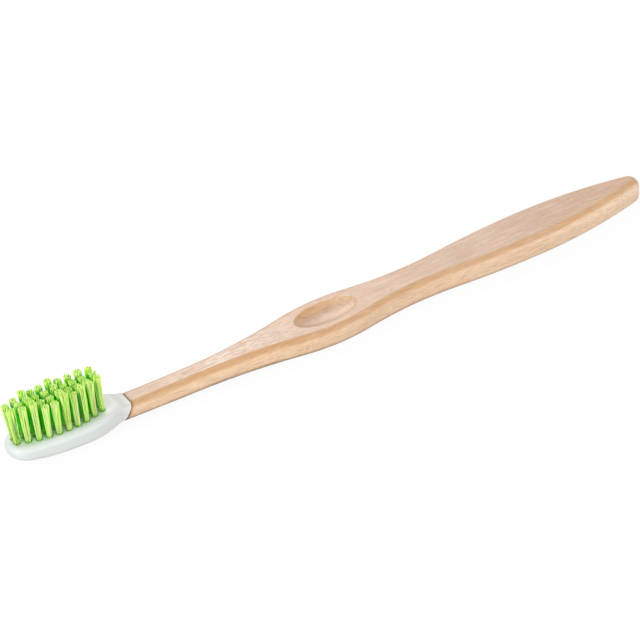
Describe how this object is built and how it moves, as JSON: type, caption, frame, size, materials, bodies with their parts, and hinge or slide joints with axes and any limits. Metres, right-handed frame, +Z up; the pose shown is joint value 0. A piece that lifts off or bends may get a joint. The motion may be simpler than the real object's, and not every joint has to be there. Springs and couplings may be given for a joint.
{
  "type": "manual toothbrush",
  "caption": "Manual toothbrush with a waisted wooden handle, oval thumb scoop, separate white plastic head and green bristle tufts with a wavy trim.",
  "frame": {"origin": "middle of the brush, on the flat underside that it rests on", "axes": "+X along the brush from the head to the end of the handle, +Z up, the way the bristles point"},
  "size_m": [0.1886, 0.0154, 0.0174],
  "materials": {
    "beech": "fine-sanded pale beech, waxed",
    "head_plastic": "milky white, slightly translucent, satin gloss",
    "bristle": "yellow-green translucent filaments",
    "anchor_metal": "plain rolled plate"
  },
  "bodies": {
    "root": {"brush_head": "head_plastic", "handle": "beech", "tuft_01_1": "bristle", "tuft_01_2": "bristle", "tuft_02_1": "bristle", "tuft_02_2": "bristle", "tuft_02_3": "bristle", "tuft_03_1": "bristle", "tuft_03_2": "bristle", "tuft_03_3": "bristle", "tuft_03_4": "bristle", "tuft_04_1": "bristle", "tuft_04_2": "bristle", "tuft_04_3": "bristle", "tuft_04_4": "bristle", "tuft_05_1": "bristle", "tuft_05_2": "bristle", "tuft_05_3": "bristle", "tuft_05_4": "bristle", "tuft_06_1": "bristle", "tuft_06_2": "bristle", "tuft_06_3": "bristle", "tuft_06_4": "bristle", "tuft_07_1": "bristle", "tuft_07_2": "bristle", "tuft_07_3": "bristle", "tuft_07_4": "bristle", "tuft_08_1": "bristle", "tuft_08_2": "bristle", "tuft_08_3": "bristle", "tuft_08_4": "bristle", "tuft_09_1": "bristle", "tuft_09_2": "bristle", "tuft_09_3": "bristle", "tuft_09_4": "bristle", "tuft_10_1": "bristle", "tuft_10_2": "bristle", "tuft_10_3": "bristle", "tuft_anchors": "anchor_metal"}
  },
  "joints": []
}
